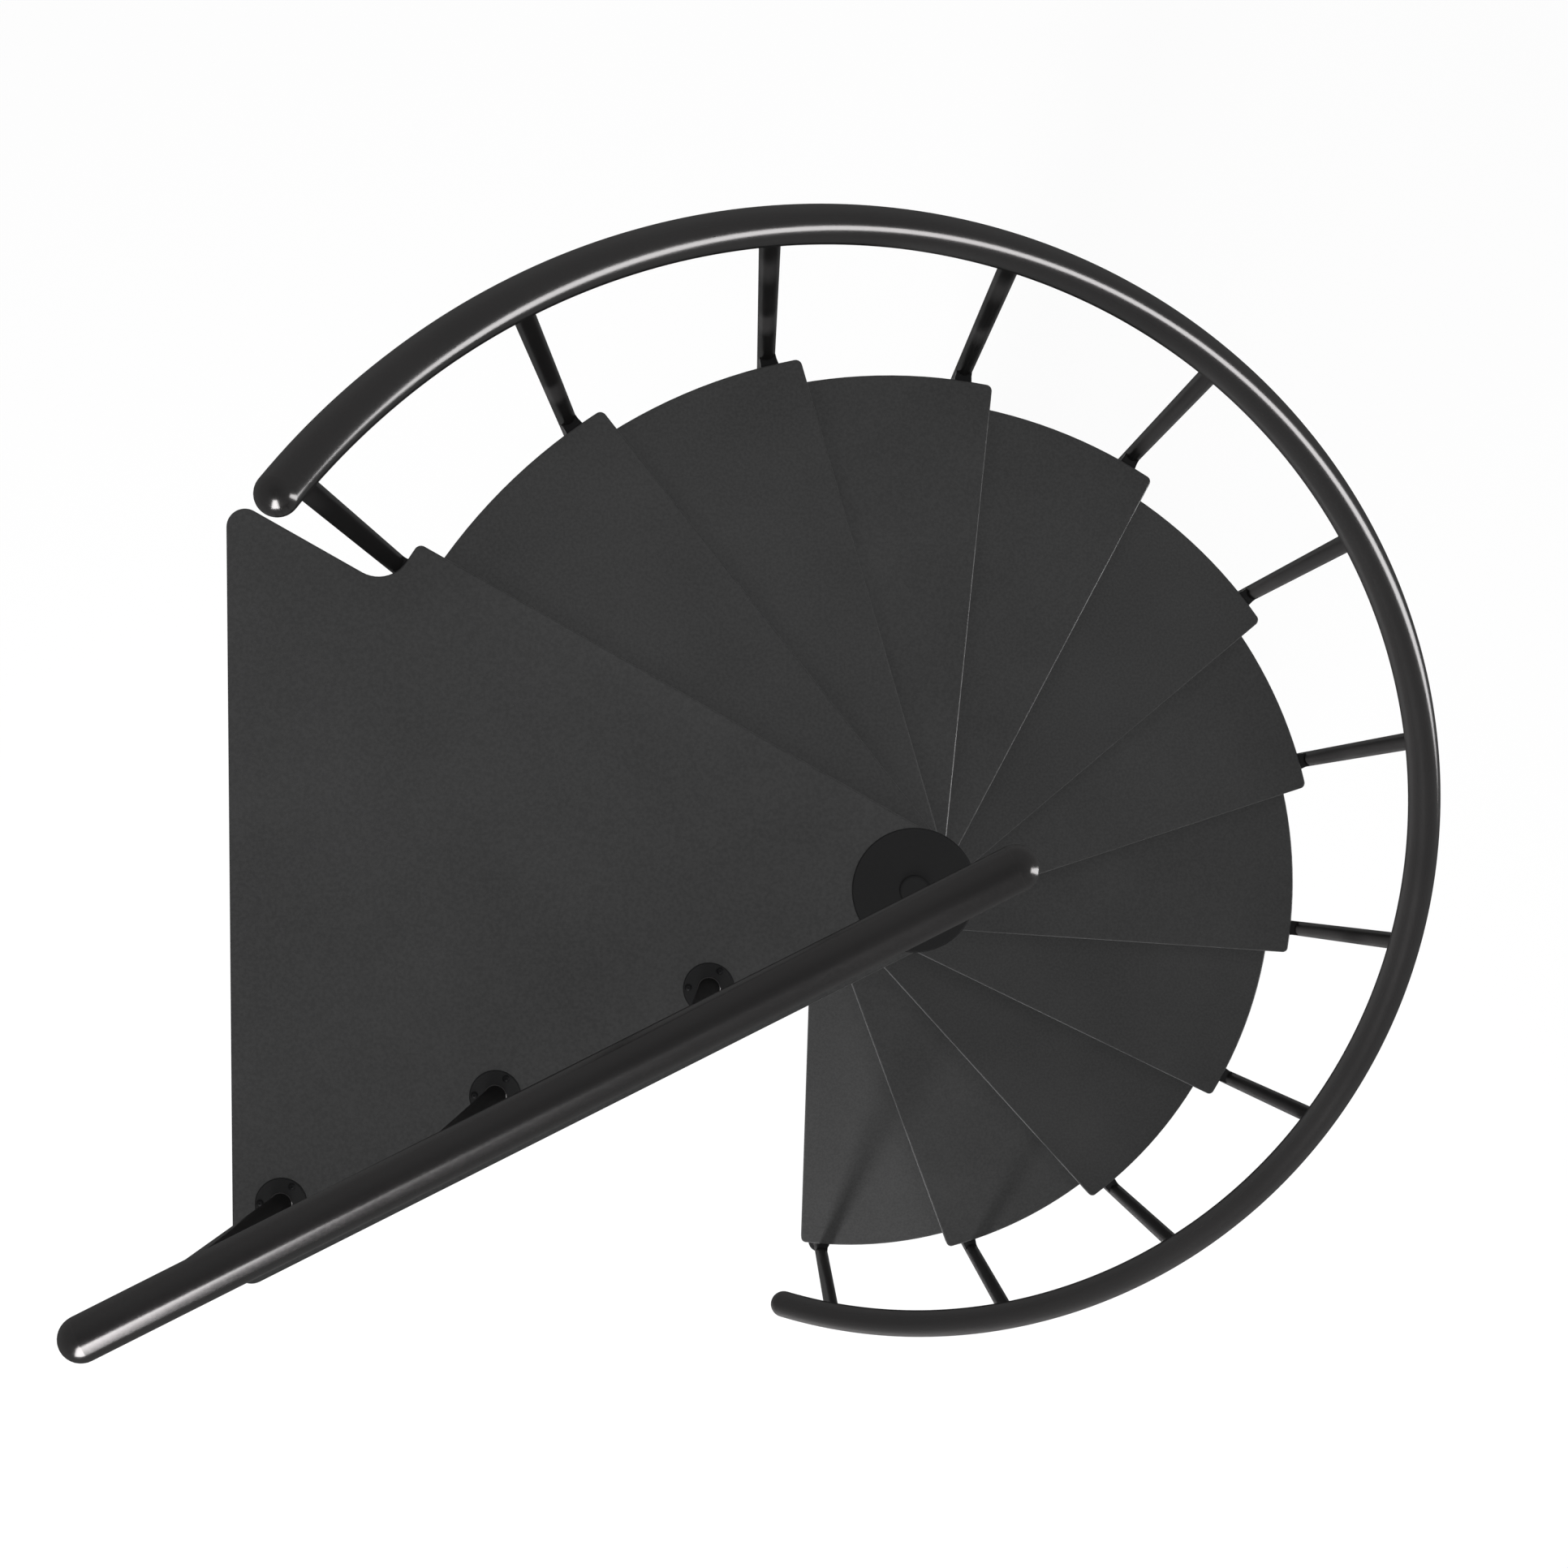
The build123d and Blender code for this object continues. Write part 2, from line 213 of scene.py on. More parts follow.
def fasteners(name, pattern, spots, tilt, material):
    """The same screw or bolt at each spot, tipped over by tilt before its turn."""
    model = bpy.data.objects.new(name + "_pattern", pattern)

    def shape(tree, given):
        one = place(tree, "GeometryNodeObjectInfo", {"Object": model}).outputs["Geometry"]
        tipped = place(tree, "ShaderNodeCombineXYZ", {"Y": given["Tilt"]}).outputs[0]
        stood = place(tree, "GeometryNodeTransform", {"Geometry": one, "Rotation": tipped})
        return repeat(tree, given["Geometry"], stood.outputs[0])

    piece = grow(name, spot_mesh(name, spots), shape, material, "bolt_steel", False, Tilt=tilt)
    bpy.data.objects.remove(model)
    return piece


def polar(radius, angle, height=0.0):
    """A point at a radius and an angle around the pole."""
    return Vector((radius * math.cos(angle), radius * math.sin(angle), height))


fittings_paint = powder_coat(
    "black_fittings_paint",
    color=(0.0106, 0.0106, 0.0108),
    cloud=(0.0140, 0.0140, 0.0142),
    rubbed_and_highlit_edge=(0.022, 0.022, 0.023),
    gloss=(0.55, 0.68),
    worn_gloss=0.40,
    shine=0.02,
    grain=0.0016,
    relief=0.00004,
    worn_and_highlit_width=0.0012,
)
zinc = powder_coat(
    "zinc_plate",
    color=(0.30, 0.30, 0.31),
    cloud=(0.42, 0.42, 0.42),
    rubbed_and_highlit_edge=(0.60, 0.60, 0.60),
    gloss=(0.30, 0.45),
    worn_gloss=0.25,
    shine=0.5,
    grain=0.0006,
    relief=0.00001,
    worn_and_highlit_width=0.0006,
)
zinc.node_tree.nodes["Principled BSDF"].inputs["Metallic"].default_value = 0.9
coat(fittings_paint, "base_plate")

plate_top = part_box("base_plate")[1].z
anchor_circle = 0.115
anchor_count = 6
first_anchor_turn = math.radians(30)
wrench_step = 0.3
hex_outline = (
    (0.0125, 0.0, False),
    (0.0125, 0.0020, False),
    (0.0120, 0.0025, False),
    (0.0085, 0.0025, False),
    (0.0085, 0.0028, False),
    (0.0085, 0.0028, True),
    (0.0085, 0.0095, True),
    (0.0082, 0.0100, True),
    (0.0078, 0.0104, False),
)
anchor_spots = []
for number in range(anchor_count):
    around = first_anchor_turn + number * 2 * math.pi / anchor_count
    anchor_spots.append((polar(anchor_circle, around, plate_top), number * wrench_step))
hex_bolt = turned("hex_bolt", hex_outline)
fasteners("anchor_bolts", hex_bolt, anchor_spots, 0.0, zinc)


# Pole. One steel tube from the floor plate to the landing, threaded with hubs and spacer sleeves.
# Tube and sleeves have a smooth satin coat of a slightly warm black, and a thin nylon ring
# seals every joint between a hub and a sleeve.
tube_paint = powder_coat(
    "satin_tube_paint",
    color=(0.0260, 0.0252, 0.0252),
    cloud=(0.0306, 0.0296, 0.0296),
    rubbed_and_highlit_edge=(0.040, 0.038, 0.038),
    gloss=(0.18, 0.22),
    worn_gloss=0.22,
    shine=0.0,
    grain=0.0030,
    relief=0.000010,
    worn_and_highlit_width=0.0008,
)

# A bare metal of this color gleams far more at a glance than straight on. The share of it is
# turned down toward the sides of a tube, so the satin keeps one even sheen all round.
bare_gleam = 0.026
satin_gleam = 0.021
extra_side_gleam = 0.030
satin = tube_paint.node_tree
facing = place(satin, "ShaderNodeLayerWeight", {"Blend": 0.5}).outputs["Facing"]
grazing = reckon(satin, "POWER", facing, 5.0)
mirrored = reckon(satin, "MULTIPLY_ADD", grazing, 1 - bare_gleam, bare_gleam)
wanted = reckon(satin, "MULTIPLY_ADD", grazing, extra_side_gleam, satin_gleam)
even_sheen = reckon(satin, "DIVIDE", wanted, mirrored)
satin.links.new(even_sheen, satin.nodes["Principled BSDF"].inputs["Metallic"])

nylon = powder_coat(
    "moulded_black_nylon",
    color=(0.0052, 0.0052, 0.0054),
    cloud=(0.0072, 0.0072, 0.0074),
    rubbed_and_highlit_edge=(0.010, 0.010, 0.010),
    gloss=(0.50, 0.60),
    worn_gloss=0.45,
    shine=0.05,
    grain=0.0008,
    relief=0.00002,
    worn_and_highlit_width=0.0006,
)
coat(tube_paint, "central_pole", "pole_sleeves")

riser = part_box("tread_02")[1].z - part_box("tread_01")[1].z
hub_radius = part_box("pole_sleeves")[1].x
hub_height = 0.060
tread_names = sorted(name for name in nodes if name.startswith("tread_"))
landing_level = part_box("landing")[1].z


def ring_shape(tree, given):
    """A thin round ring at each spot."""
    around = {"Resolution": 64, "Radius": given["Ring Radius"]}
    across = {"Resolution": 8, "Radius": given["Thickness"]}
    path = place(tree, "GeometryNodeCurvePrimitiveCircle", around)
    profile = place(tree, "GeometryNodeCurvePrimitiveCircle", across)
    ring = place(
        tree,
        "GeometryNodeCurveToMesh",
        {"Curve": path.outputs["Curve"], "Profile Curve": profile.outputs["Curve"], "Scale": 1.0},
    )
    return repeat(tree, given["Geometry"], ring.outputs["Mesh"])


joint_levels = [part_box(name)[1].z for name in tread_names] + [landing_level]
ring_spots = [((0, 0, level - hub_height), 0.0) for level in joint_levels]
ring_spots += [((0, 0, level), 0.0) for level in joint_levels[:-1]]
grow(
    "sealing_rings",
    spot_mesh("sealing_rings", ring_spots),
    ring_shape,
    nylon,
    "dark_plastic",
    **{"Ring Radius": hub_radius, "Thickness": 0.0007},
)


# Treads. Wedges folded from 3 mm steel sheet, with a hub collar and a rib welded in below.
# Each is coated all over in a matt anthracite, the roughest coat of the stair, which lies
# over the welds: a bead around the collar, and short stitches along both sides of the rib.
# Its rubbed colour, more than twice its own tone, paints light lines along the plate edges: partly wear, and
# partly a painted highlight on the folded edges.
plate_paint = powder_coat(
    "anthracite_plate_paint",
    color=(0.0337, 0.0337, 0.0339),
    cloud=(0.0472, 0.0472, 0.0474),
    rubbed_and_highlit_edge=(0.078, 0.078, 0.079),
    gloss=(0.66, 0.78),
    worn_gloss=0.42,
    shine=0.015,
    grain=0.0035,
    relief=0.00012,
    worn_and_highlit_width=0.0015,
    mottle=0.27,
)
coat(plate_paint, *tread_names)

# The bend of a folded edge is pressed smooth, so it gleams a little where the flats stay matt.
# It is found by how far the surface leans, between the upright side and the level top.
bend_gloss = 0.38
bend_gleam = 0.28
side_lean = (0.10, 0.35)
top_lean = (0.99, 0.92)
folded = plate_paint.node_tree
folded_inputs = folded.nodes["Principled BSDF"].inputs
flat_gloss = folded_inputs["Roughness"].links[0].from_socket
outward = place(folded, "ShaderNodeNewGeometry").outputs["Normal"]
lean = place(folded, "ShaderNodeSeparateXYZ", {0: outward}).outputs["Z"]
off_side = spread(folded, lean, *side_lean, 0.0, 1.0)
off_top = spread(folded, lean, *top_lean, 0.0, 1.0)
bend = reckon(folded, "MULTIPLY", off_side, off_top)
gloss = place(folded, "ShaderNodeMix", {0: bend, 2: flat_gloss, 3: bend_gloss}).outputs[0]
folded.links.new(gloss, folded_inputs["Roughness"])
folded.links.new(reckon(folded, "MULTIPLY", bend, bend_gleam), folded_inputs["Metallic"])

baluster_names = sorted(name for name in nodes if name.startswith("baluster_") and name[-1].isdigit())


def center(name):
    """The middle of a node's box."""
    low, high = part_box(name)
    return (low + high) / 2


def angle_of(name):
    """Where a node stands around the pole."""
    middle = center(name)
    return math.atan2(middle.y, middle.x)


def bead(tree, curve, radius, scale):
    """A weld bead along a curve."""
    profile = place(tree, "GeometryNodeCurvePrimitiveCircle", {"Resolution": 8, "Radius": radius})
    inputs = {"Curve": curve, "Profile Curve": profile.outputs["Curve"], "Scale": scale, "Fill Caps": True}
    return place(tree, "GeometryNodeCurveToMesh", inputs).outputs["Mesh"]


def ripple(tree, pitch):
    """The swell of a weld bead along its curve, one wave for each drop of weld."""
    length = place(tree, "GeometryNodeSplineParameter").outputs["Length"]
    wave = reckon(tree, "SINE", reckon(tree, "MULTIPLY", length, 2 * math.pi / pitch))
    return reckon(tree, "MULTIPLY_ADD", wave, 0.10, 1.0)


stitch_stretch = 7.0


def rib_stitches(tree, given, turn):
    """Two rows of short beads along a rib that leaves the hub at a turn."""
    row = place(
        tree,
        "GeometryNodeMeshLine",
        {
            "Count": given["Stitches"],
            "Start Location": place(tree, "ShaderNodeCombineXYZ", {"X": given["First"]}).outputs[0],
            "Offset": place(tree, "ShaderNodeCombineXYZ", {"X": given["Pitch"]}).outputs[0],
        },
    ).outputs["Mesh"]
    drop = place(tree, "GeometryNodeMeshUVSphere", {"Segments": 10, "Rings": 6, "Radius": given["Bead"]})
    stitch = {"Geometry": drop.outputs["Mesh"], "Scale": (stitch_stretch, 1.0, 1.0)}
    stretched = place(tree, "GeometryNodeTransform", stitch).outputs[0]
    beads = place(
        tree, "GeometryNodeInstanceOnPoints", {"Points": row, "Instance": stretched}
    ).outputs["Instances"]
    rows = tree.nodes.new("GeometryNodeJoinGeometry")
    for side in (-1, 1):
        shift = place(
            tree,
            "ShaderNodeCombineXYZ",
            {"Y": reckon(tree, "MULTIPLY", given["Rib Side"], side), "Z": given["Drop"]},
        )
        moved = place(
            tree, "GeometryNodeTransform", {"Geometry": beads, "Translation": shift.outputs[0]}
        )
        tree.links.new(moved.outputs[0], rows.inputs[0])
    swing = place(tree, "ShaderNodeCombineXYZ", {"Z": turn}).outputs[0]
    return place(
        tree, "GeometryNodeTransform", {"Geometry": rows.outputs[0], "Rotation": swing}
    ).outputs[0]


def collar_bead(tree, given):
    """The bead between the hub collar and the underside of the plate."""
    arc = place(
        tree,
        "GeometryNodeCurveArc",
        {
            "Resolution": 96,
            "Radius": given["Collar Radius"],
            "Start Angle": given["Collar Start"],
            "Sweep Angle": given["Collar Sweep"],
        },
    ).outputs["Curve"]
    line = bead(tree, arc, given["Bead"], ripple(tree, 0.005))
    drop = place(tree, "ShaderNodeCombineXYZ", {"Z": given["Drop"]}).outputs[0]
    return place(tree, "GeometryNodeTransform", {"Geometry": line, "Translation": drop}).outputs[0]


def tread_weld_shape(tree, given):
    """All the welds of one tread, at each tread."""
    welds = tree.nodes.new("GeometryNodeJoinGeometry")
    tree.links.new(rib_stitches(tree, given, given["Rib Turn"]), welds.inputs[0])
    tree.links.new(collar_bead(tree, given), welds.inputs[0])
    return repeat(tree, given["Geometry"], welds.outputs[0])


collar_clearance = 0.0002
weld_sizes = {
    "First": 0.120,
    "Pitch": 0.095,
    "Bead": 0.0020,
    "Rib Side": 0.0022,
    "Collar Radius": hub_radius + collar_clearance,
}
tread_spots = [
    ((0, 0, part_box(tread)[1].z), angle_of(baluster))
    for tread, baluster in zip(tread_names, baluster_names)
]
grow(
    "tread_welds",
    spot_mesh("tread_welds", tread_spots),
    tread_weld_shape,
    plate_paint,
    "coated_plate",
    **weld_sizes,
    **{
        "Stitches": 6,
        "Drop": -0.0032,
        "Rib Turn": math.radians(10.57),
        "Collar Start": math.radians(-64.0),
        "Collar Sweep": math.radians(149.0),
    },
)


# Balusters. Tubes of 22 mm, each standing on one tread and passing the next, and capped below.
# They have the satin coat of the pole. A dome-head screw through the tube holds it at every
# spacer, and the lowest baluster stands on a small round foot.
coat(tube_paint, *baluster_names)
coat(fittings_paint, "baluster_foot")
coat(nylon, "baluster_plugs")

black_steel = powder_coat(
    "blackened_screw_steel",
    color=(0.0050, 0.0050, 0.0052),
    cloud=(0.0070, 0.0070, 0.0073),
    rubbed_and_highlit_edge=(0.016, 0.016, 0.017),
    gloss=(0.50, 0.60),
    worn_gloss=0.45,
    shine=0.03,
    grain=0.0006,
    relief=0.000008,
    worn_and_highlit_width=0.0004,
)
dome_outline = (
    (0.0040, -0.0004, False),
    (0.0040, 0.0003, False),
    (0.0037, 0.0010, False),
    (0.0030, 0.0017, False),
    (0.0022, 0.0021, False),
    (0.0014, 0.0023, True),
    (0.0013, 0.0022, True),
    (0.0013, 0.0010, True),
)
dome_screw = turned("dome_screw", dome_outline)
baluster_circle = Vector((center(baluster_names[0]).x, center(baluster_names[0]).y)).length
baluster_radius = (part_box(baluster_names[0])[1].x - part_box(baluster_names[0])[0].x) / 2
spacer_middle = 0.018
screw_spots = []
for number, name in enumerate(baluster_names, start=1):
    for level in (number, number - 1):
        if level:
            height = level * riser - spacer_middle
            turn = angle_of(name)
            screw_spots.append((polar(baluster_circle + baluster_radius, turn, height), turn))
fasteners("baluster_screws", dome_screw, screw_spots, math.pi / 2, black_steel)


# Spacers. Blocks moulded from black nylon between the folded edges and the balusters.
# Each has a hollow for the tube on one side, and follows the rounded tread end on the other.
coat(nylon, "front_spacers", "rear_spacers")


# Handrail. One tube of 40 mm bent to a helix over the balusters, with a dome at both ends.
# It has the satin coat of the pole. The balusters are coped to it and welded all round.
rail_radius = 0.020
rail_height = 0.873
lower_reach = 0.0755
upper_reach = 0.0195
step_angle = angle_of(baluster_names[-1]) - angle_of(baluster_names[-2])
slope = math.atan(riser / step_angle / baluster_circle)
rail_start = angle_of(baluster_names[0]) - lower_reach / baluster_circle
step_count = len(baluster_names) - 1
rail_sweep = step_count * step_angle + (lower_reach + upper_reach) / baluster_circle
rail_bottom = riser + rail_height - lower_reach * math.tan(slope)


def handrail_shape(tree, given):
    """A tube along a helix, its rings closing to a dome at both ends."""
    radius = given["Rail Radius"]
    quarter = given["Dome Rings"]
    straight = given["Rings"]
    total = reckon(tree, "MULTIPLY_ADD", quarter, 2.0, straight)
    points = place(tree, "GeometryNodeMeshLine", {"Count": reckon(tree, "ADD", total, 1.0)})
    index = place(tree, "GeometryNodeInputIndex").outputs[0]

    def part(start, count):
        """How far the index is through a run of rings, from 0 to 1."""
        share = reckon(tree, "DIVIDE", reckon(tree, "SUBTRACT", index, start), count)
        return place(tree, "ShaderNodeClamp", {"Value": share}).outputs[0]

    first = reckon(tree, "MULTIPLY", part(0.0, quarter), math.pi / 2)
    middle = part(quarter, straight)
    last = reckon(tree, "MULTIPLY", part(reckon(tree, "ADD", quarter, straight), quarter), math.pi / 2)
    swell = reckon(tree, "MULTIPLY", reckon(tree, "SINE", first), reckon(tree, "COSINE", last))

    climb = given["Slope"]
    circle = given["Circle Radius"]
    level_length = reckon(tree, "MULTIPLY", circle, given["Sweep"])
    length = reckon(tree, "DIVIDE", level_length, reckon(tree, "COSINE", climb))
    along = reckon(tree, "MULTIPLY", middle, length)
    along = reckon(tree, "SUBTRACT", along, reckon(tree, "MULTIPLY", radius, reckon(tree, "COSINE", first)))
    along = reckon(tree, "MULTIPLY_ADD", radius, reckon(tree, "SINE", last), along)
    flat = reckon(tree, "MULTIPLY", along, reckon(tree, "COSINE", climb))
    angle = reckon(tree, "ADD", given["Start"], reckon(tree, "DIVIDE", flat, circle))
    height = reckon(tree, "MULTIPLY_ADD", along, reckon(tree, "SINE", climb), given["Bottom"])
    spot = place(
        tree,
        "ShaderNodeCombineXYZ",
        {
            "X": reckon(tree, "MULTIPLY", circle, reckon(tree, "COSINE", angle)),
            "Y": reckon(tree, "MULTIPLY", circle, reckon(tree, "SINE", angle)),
            "Z": height,
        },
    ).outputs[0]
    curve = place(tree, "GeometryNodeMeshToCurve", {"Mesh": points.outputs["Mesh"]}).outputs["Curve"]
    helix = place(tree, "GeometryNodeSetPosition", {"Geometry": curve, "Position": spot}).outputs[0]
    profile = place(tree, "GeometryNodeCurvePrimitiveCircle", {"Resolution": 48, "Radius": radius})
    tube = place(
        tree,
        "GeometryNodeCurveToMesh",
        {"Curve": helix, "Profile Curve": profile.outputs["Curve"], "Scale": swell},
    ).outputs["Mesh"]
    return place(tree, "GeometryNodeMergeByDistance", {"Geometry": tube, "Distance": 0.00001}).outputs[0]


handrail = grow(
    "handrail_tube",
    bpy.data.meshes.new("handrail_tube"),
    handrail_shape,
    tube_paint,
    "coated_tube",
    **{
        "Rail Radius": rail_radius,
        "Dome Rings": 10,
        "Rings": 240,
        "Slope": slope,
        "Circle Radius": baluster_circle,
        "Sweep": rail_sweep,
        "Start": rail_start,
        "Bottom": rail_bottom,
    },
)
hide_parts("handrail", "handrail_end_caps")


def seat_shape(tree, given):
    """A bead around a tube where it meets the underside of a rail that may climb."""
    around = {"Resolution": 120, "Radius": given["Tube Radius"]}
    ring = place(tree, "GeometryNodeCurvePrimitiveCircle", around)
    apart = place(
        tree, "ShaderNodeSeparateXYZ", {0: place(tree, "GeometryNodeInputPosition").outputs[0]}
    ).outputs
    squared = reckon(tree, "MULTIPLY", given["Rail Radius"], given["Rail Radius"])
    across = reckon(tree, "MULTIPLY", apart["X"], apart["X"])
    deep = reckon(tree, "SQRT", reckon(tree, "SUBTRACT", squared, across))
    risen = reckon(tree, "MULTIPLY", apart["Y"], reckon(tree, "SINE", given["Slope"]))
    below = reckon(tree, "SUBTRACT", risen, deep)
    level = reckon(tree, "DIVIDE", below, reckon(tree, "COSINE", given["Slope"]))
    lift = place(tree, "ShaderNodeCombineXYZ", {"Z": level}).outputs[0]
    seat = place(tree, "GeometryNodeSetPosition", {"Geometry": ring.outputs["Curve"], "Offset": lift})
    line = bead(tree, seat.outputs[0], given["Bead"], ripple(tree, 0.0028))
    return repeat(tree, given["Geometry"], line)


joint_spots = [
    (polar(baluster_circle, angle_of(name), number * riser + rail_height), angle_of(name))
    for number, name in enumerate(baluster_names, start=1)
]
seat_sizes = {"Tube Radius": baluster_radius, "Rail Radius": rail_radius, "Bead": 0.0016}
grow(
    "handrail_welds",
    spot_mesh("handrail_welds", joint_spots),
    seat_shape,
    tube_paint,
    "coated_tube",
    **seat_sizes,
    Slope=slope,
)


# Landing. A plate folded from 4 mm steel sheet, with three ribs and a hub collar welded below.
# It has the matt anthracite coat of the treads. Two bolts through its turned-down edge hold it
# to the wall.
coat(plate_paint, "landing")

landing_sheet = 0.004
front_swing = math.radians(2.8)
front_angle = angle_of(baluster_names[-1]) + front_swing
side_angle = math.radians(206.0)


def landing_weld_shape(tree, given):
    """The welds of the landing's three ribs and of its collar."""
    welds = tree.nodes.new("GeometryNodeJoinGeometry")
    for side in (-1, 0, 1):
        turn = reckon(tree, "MULTIPLY_ADD", given["Rib Spread"], side, given["Rib Turn"])
        tree.links.new(rib_stitches(tree, given, turn), welds.inputs[0])
    tree.links.new(collar_bead(tree, given), welds.inputs[0])
    return repeat(tree, given["Geometry"], welds.outputs[0])


grow(
    "landing_welds",
    spot_mesh("landing_welds", [((0, 0, landing_level), 0.0)]),
    landing_weld_shape,
    plate_paint,
    "coated_plate",
    **weld_sizes,
    **{
        "Stitches": 7,
        "Rib Spread": math.radians(14.0),
        "Drop": -0.0042,
        "Rib Turn": (front_angle + side_angle) / 2,
        "Collar Start": front_angle - math.radians(66.0),
        "Collar Sweep": side_angle - front_angle + math.radians(127.0),
    },
)

wall_bolt_reach = 0.280
wall_bolt_drop = 0.034
wall_bolt_level = landing_level - wall_bolt_drop
wall_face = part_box("landing")[0].x + landing_sheet
wall_spots = [((wall_face, side * wall_bolt_reach, wall_bolt_level), 0.0) for side in (-1, 1)]
fasteners("wall_bolts", hex_bolt, wall_spots, math.pi / 2, zinc)


# Guard. A level tube of 40 mm over the landing's open side, on three posts of 22 mm.
# Each post is welded to the rail above, and to a round flange that three dome-head screws
# hold on the landing. Rail and posts are satin, the flanges are matt.
posts = sorted(name for name in nodes if name.startswith("guard_post_"))
flanges = sorted(name for name in nodes if name.startswith("guard_flange_"))
coat(tube_paint, "guard_rail", "guard_end_caps", *posts)
coat(fittings_paint, *flanges)

guard_turn = math.atan2(
    center(posts[2]).y - center(posts[0]).y,
    center(posts[2]).x - center(posts[0]).x,
)
guard_axis_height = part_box("guard_rail")[1].z - rail_radius
flange_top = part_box(flanges[0])[1].z
screw_circle = 0.0223
screws_per_flange = 3
first_screw_turn = math.radians(57.0)
rail_seats = []
flange_screws = []
foot_rings = []
for name in posts:
    middle = center(name)
    rail_seats.append(((middle.x, middle.y, guard_axis_height), guard_turn + math.pi / 2))
    foot_rings.append(((middle.x, middle.y, flange_top), 0.0))
    for screw in range(screws_per_flange):
        around = first_screw_turn + screw * 2 * math.pi / screws_per_flange
        spot = Vector((middle.x, middle.y, flange_top)) + polar(screw_circle, around)
        flange_screws.append((spot, around))
grow(
    "guard_welds",
    spot_mesh("guard_welds", rail_seats),
    seat_shape,
    tube_paint,
    "coated_tube",
    **seat_sizes,
    Slope=0.0,
)
foot_bead = 0.0014
foot_bead_sunk = 0.0010
foot_rings.append(((*center(baluster_names[0]).xy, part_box("baluster_foot")[1].z), 0.0))
grow(
    "foot_welds",
    spot_mesh("foot_welds", foot_rings),
    ring_shape,
    tube_paint,
    "coated_tube",
    **{"Ring Radius": baluster_radius + foot_bead - foot_bead_sunk, "Thickness": foot_bead},
)
fasteners("flange_screws", dome_screw, flange_screws, 0.0, black_steel)


# Cap. A chamfered disc that closes the top of the pole, clamped by one bolt down its middle.
# Both have the matt black coat of the fittings.
coat(fittings_paint, "pole_cap", "cap_bolt")


# Floor. A plain white studio floor, far wider than the stair, on which the stair's shadow lies.
# It is a single sheet that shows from above only, so that the stair can be seen from below too.
def seen_directly(tree):
    """1 for what the camera sees, by itself or in a gloss or a glass, and 0 for the rest."""
    ray = place(tree, "ShaderNodeLightPath").outputs
    seen = reckon(tree, "MAXIMUM", ray["Is Camera Ray"], ray["Is Glossy Ray"])
    return reckon(tree, "MAXIMUM", seen, ray["Is Transmission Ray"])


def white_floor(name, glow_share):
    """A matt white that shows mostly as plain white, with the rest left for shadows."""
    material = bpy.data.materials.new(name)
    material.use_nodes = True
    tree = material.node_tree
    paint = tree.nodes["Principled BSDF"]
    paint.inputs["Base Color"].default_value = (0.85, 0.85, 0.85, 1)
    paint.inputs["Roughness"].default_value = 0.9
    paint.inputs["Specular IOR Level"].default_value = 0.1
    glow = place(tree, "ShaderNodeEmission", {"Color": (1, 1, 1, 1), "Strength": 1.0})
    share = reckon(tree, "MULTIPLY", seen_directly(tree), glow_share)
    mix = place(tree, "ShaderNodeMixShader", {0: share, 1: paint.outputs[0], 2: glow.outputs[0]})
    from_below = place(tree, "ShaderNodeNewGeometry").outputs["Backfacing"]
    clear = place(tree, "ShaderNodeBsdfTransparent")
    sheet = place(tree, "ShaderNodeMixShader", {0: from_below, 1: mix.outputs[0], 2: clear.outputs[0]})
    tree.links.new(sheet.outputs[0], tree.nodes["Material Output"].inputs["Surface"])
    return material


floor_reach = 12.0
floor_level = -0.0002
floor_glow = 0.90
floor_mesh = bpy.data.meshes.new("floor")
floor_mesh.from_pydata(
    [
        (-floor_reach, -floor_reach, floor_level),
        (floor_reach, -floor_reach, floor_level),
        (floor_reach, floor_reach, floor_level),
        (-floor_reach, floor_reach, floor_level),
    ],
    [],
    [(0, 1, 2, 3)],
)
floor_mesh.materials.append(white_floor("white_floor", floor_glow))
floor = bpy.data.objects.new("floor", floor_mesh)
bpy.context.scene.collection.objects.link(floor)


# Light. A pale room, and two wide soft lights straight overhead for an even tone on the plates,
# one of them a fill without shadows. A broad panel in front and a tall one at the side draw the
# bright lines on the tubes, and a small lamp low in front brightens the lowest treads.
room_light = 0.12
room_zenith = 0.45
room_horizon = 0.95
world = bpy.data.worlds.new("room")
bpy.context.scene.world = world
world.use_nodes = True
sky = world.node_tree
sky.nodes["Background"].inputs["Color"].default_value = (1, 1, 1, 1)
direction = place(sky, "ShaderNodeTexCoord").outputs["Generated"]
level = place(sky, "ShaderNodeVectorMath", {0: direction, 1: (1, 1, 0)}, operation="MULTIPLY")
slant = place(sky, "ShaderNodeVectorMath", {0: level.outputs[0]}, operation="LENGTH")
shown = spread(sky, slant.outputs["Value"], 0.0, 1.0, room_zenith, room_horizon)
camera_ray = place(sky, "ShaderNodeLightPath").outputs["Is Camera Ray"]
shown = place(sky, "ShaderNodeMix", {0: camera_ray, 2: shown, 3: 1.0}).outputs[0]
strength = place(sky, "ShaderNodeMix", {0: seen_directly(sky), 2: room_light, 3: shown}).outputs[0]
sky.links.new(strength, sky.nodes["Background"].inputs["Strength"])


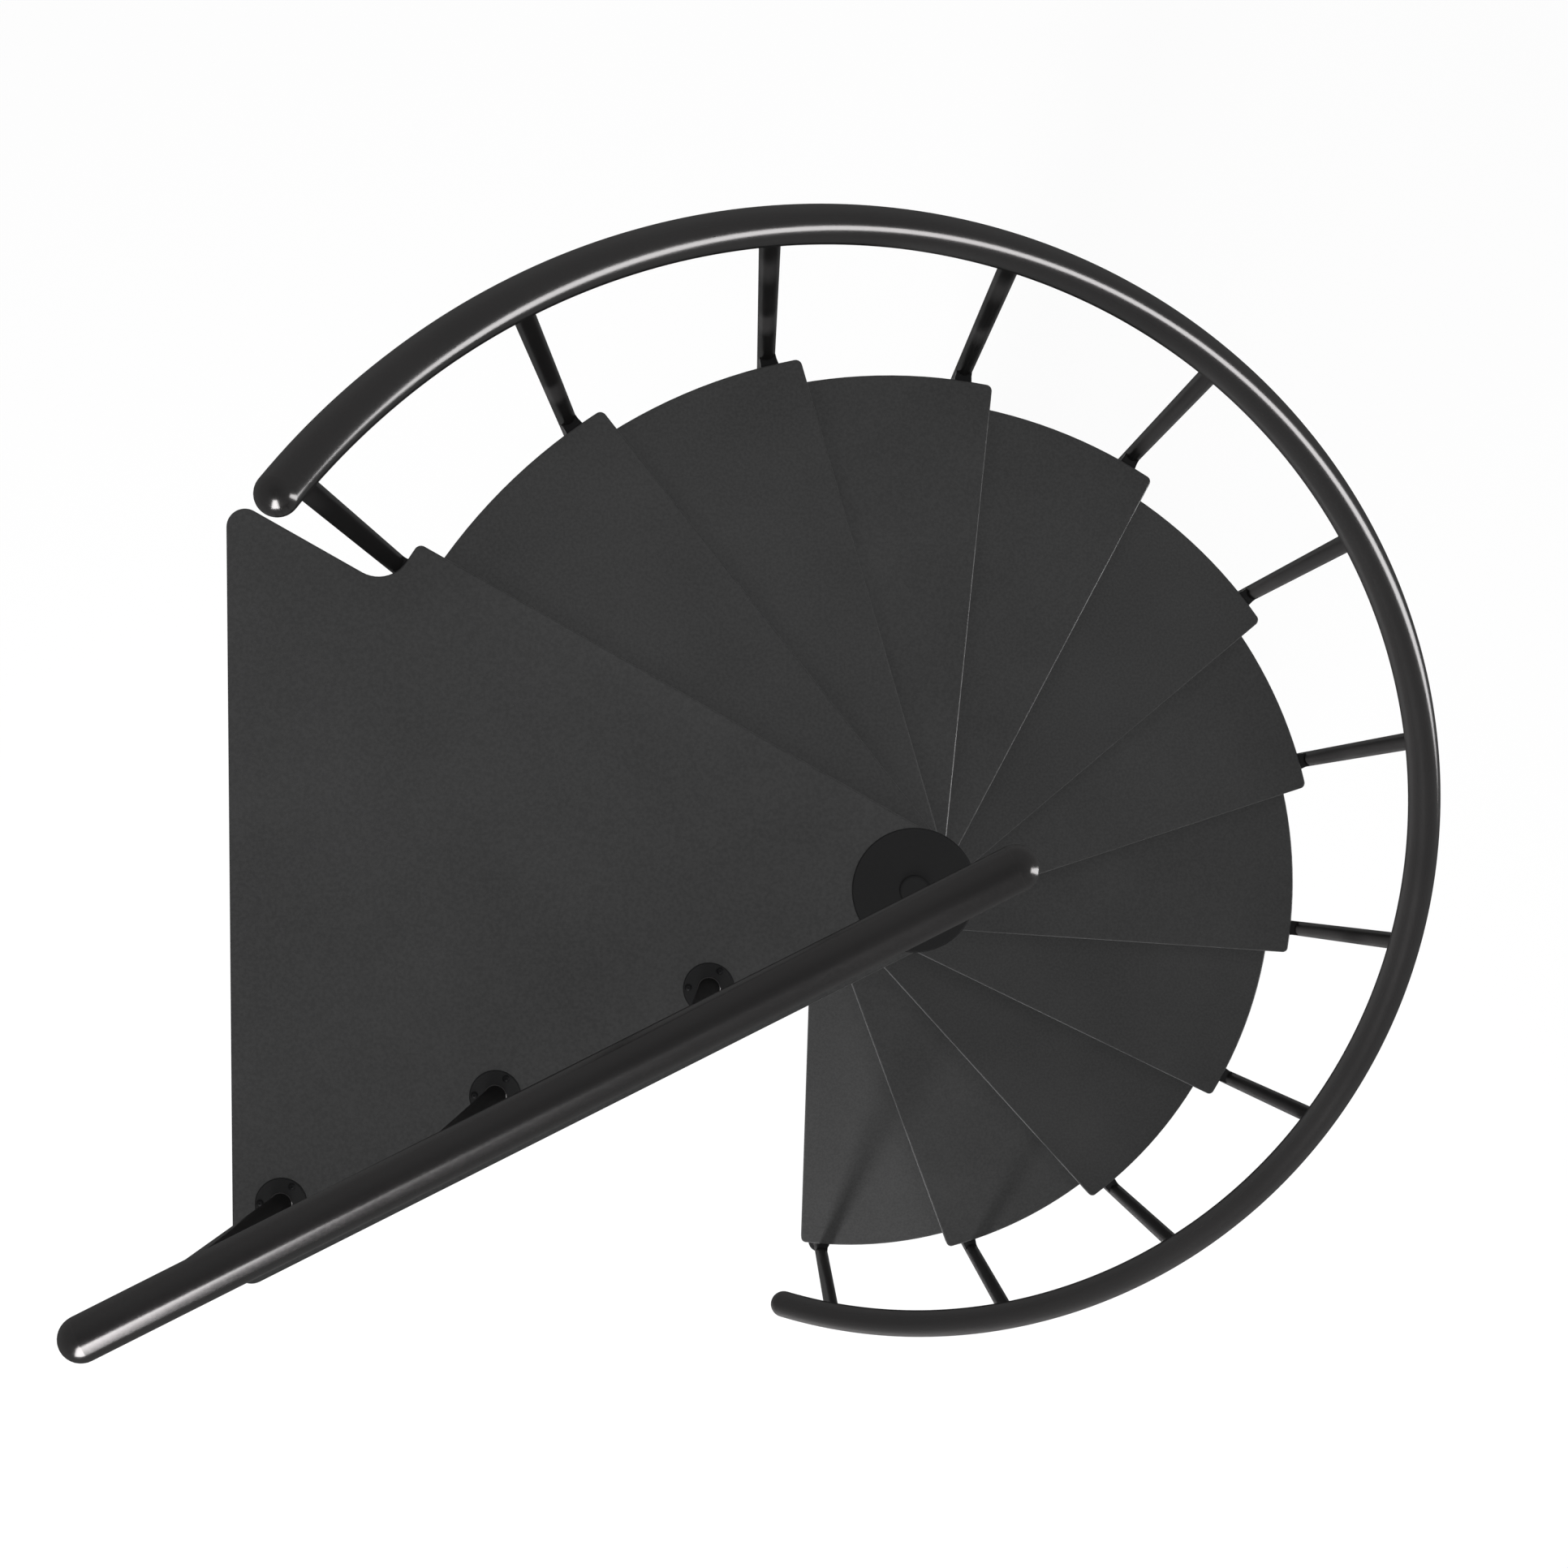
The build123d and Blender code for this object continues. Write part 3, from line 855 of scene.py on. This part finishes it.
def lamp(name, form, azimuth, elevation, distance, width, height, power, target, **rays):
    """A soft lamp that points at a target, seen from there at an azimuth and an elevation."""
    light = bpy.data.lights.new(name, "AREA")
    light.shape = form
    light.size = width
    light.size_y = height
    light.energy = power
    body = bpy.data.objects.new(name, light)
    aim = Vector(target)
    flat = distance * math.cos(math.radians(elevation))
    rise = distance * math.sin(math.radians(elevation))
    body.location = aim + polar(flat, math.radians(azimuth), rise)
    body.rotation_euler = (body.location - aim).to_track_quat("Z", "Y").to_euler()
    body.visible_camera = False
    body.visible_diffuse = rays.get("matt", True)
    body.visible_glossy = rays.get("glossy", True)
    light.use_shadow = rays.get("shadow", True)
    bpy.context.scene.collection.objects.link(body)
    return body


lamp(
    "overhead_light",
    form="ELLIPSE",
    azimuth=0,
    elevation=90,
    distance=20,
    width=5.4,
    height=5.4,
    power=1100,
    target=(0, 0, 0),
    glossy=False,
)
lamp(
    "even_fill",
    form="ELLIPSE",
    azimuth=0,
    elevation=90,
    distance=20,
    width=5.4,
    height=5.4,
    power=1800,
    target=(0, 0, 0),
    glossy=False,
    shadow=False,
)
front_panel = lamp(
    "front_panel",
    form="RECTANGLE",
    azimuth=-94.3,
    elevation=0,
    distance=4.5,
    width=2.65,
    height=6.4,
    power=2350,
    target=(-0.7, -0.35, 7.3),
    matt=False,
)
lamp(
    "side_panel",
    form="RECTANGLE",
    azimuth=-15.8,
    elevation=0,
    distance=4.29,
    width=1.26,
    height=5.0,
    power=560,
    target=(0.17, 0.6, 2.55),
    matt=False,
)
lamp(
    "low_lamp",
    form="ELLIPSE",
    azimuth=-112.5,
    elevation=0,
    distance=2.4,
    width=0.5,
    height=0.5,
    power=205,
    target=(0, -0.3, 0.62),
    glossy=False,
)

# The front panel is flagged off the plates, so it draws no line on the lower treads' folds.
flagged_off = bpy.data.collections.new("plates_out_of_the_front_panel")
for name in (*tread_names, "landing"):
    flagged_off.objects.link(nodes[name])
for member in flagged_off.collection_objects:
    member.light_linking.link_state = "EXCLUDE"
front_panel.light_linking.receiver_collection = flagged_off


# Camera. Almost straight above the stair, a little towards the landing, and looking down with
# a lens of about 84 mm, so that the whole stair lies on the floor in the frame.
lens = bpy.data.cameras.new("camera")
lens.lens = 84.006
lens.sensor_width = 36.0
lens.clip_end = 100.0
camera = bpy.data.objects.new("camera", lens)
camera.location = (-0.1780, 0.0371, 6.7194)
camera.rotation_euler = (math.radians(1.1565), math.radians(-0.5428), math.radians(-0.6864))
bpy.context.scene.collection.objects.link(camera)
bpy.context.scene.camera = camera
bpy.context.scene.view_settings.view_transform = "Standard"
